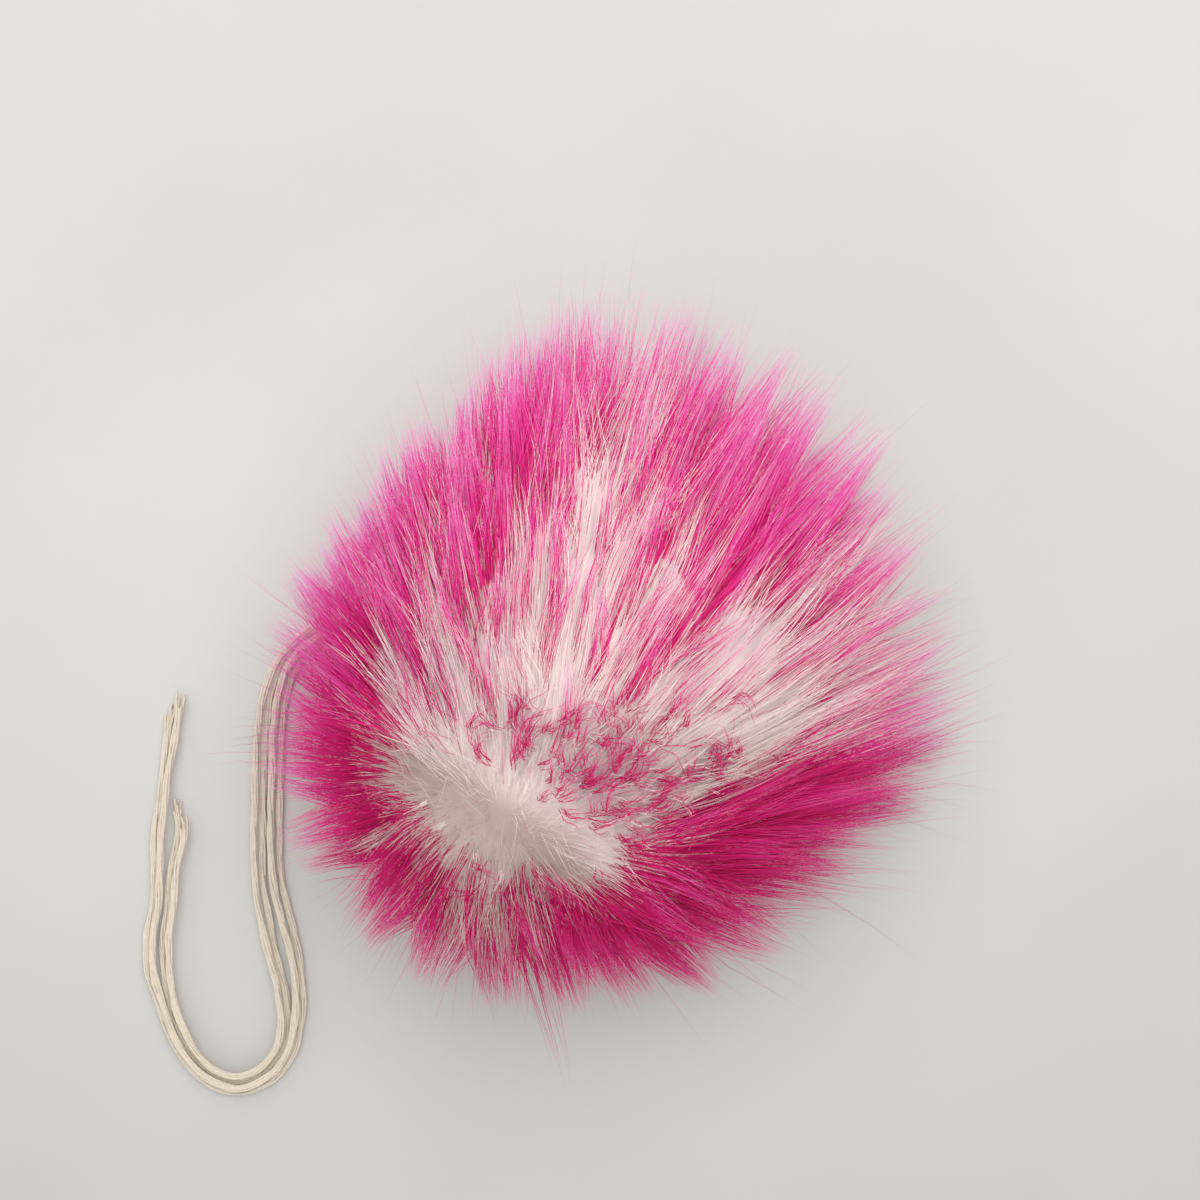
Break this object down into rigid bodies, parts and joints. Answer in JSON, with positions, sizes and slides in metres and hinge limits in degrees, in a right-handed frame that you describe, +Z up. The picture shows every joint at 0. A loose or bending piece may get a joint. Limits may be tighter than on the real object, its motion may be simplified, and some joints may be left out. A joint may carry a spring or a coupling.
{
  "type": "faux fur pom-pom",
  "caption": "Round faux fur pom-pom with long white pile tipped in bright pink, combed back from a parting, with loose yarn ends to tie it on, lying on a surface.",
  "frame": {"origin": "middle of the flat spot of the gathered base that the ball rests on", "axes": "+Z up from the surface it lies on, +Y towards the side that the fur is combed to, +X to the right of that with the tie on the left"},
  "size_m": [0.1798, 0.176, 0.0855],
  "materials": {
    "fur": "soft long pile, white at the root and bright pink to the tip",
    "yarn": "matte plied yarn, undyed"
  },
  "bodies": {
    "root": {"fur_ball": "fur", "tie_long_outer": "yarn", "tie_long_inner": "yarn", "tie_short_outer": "yarn", "tie_short_inner": "yarn"}
  },
  "joints": []
}
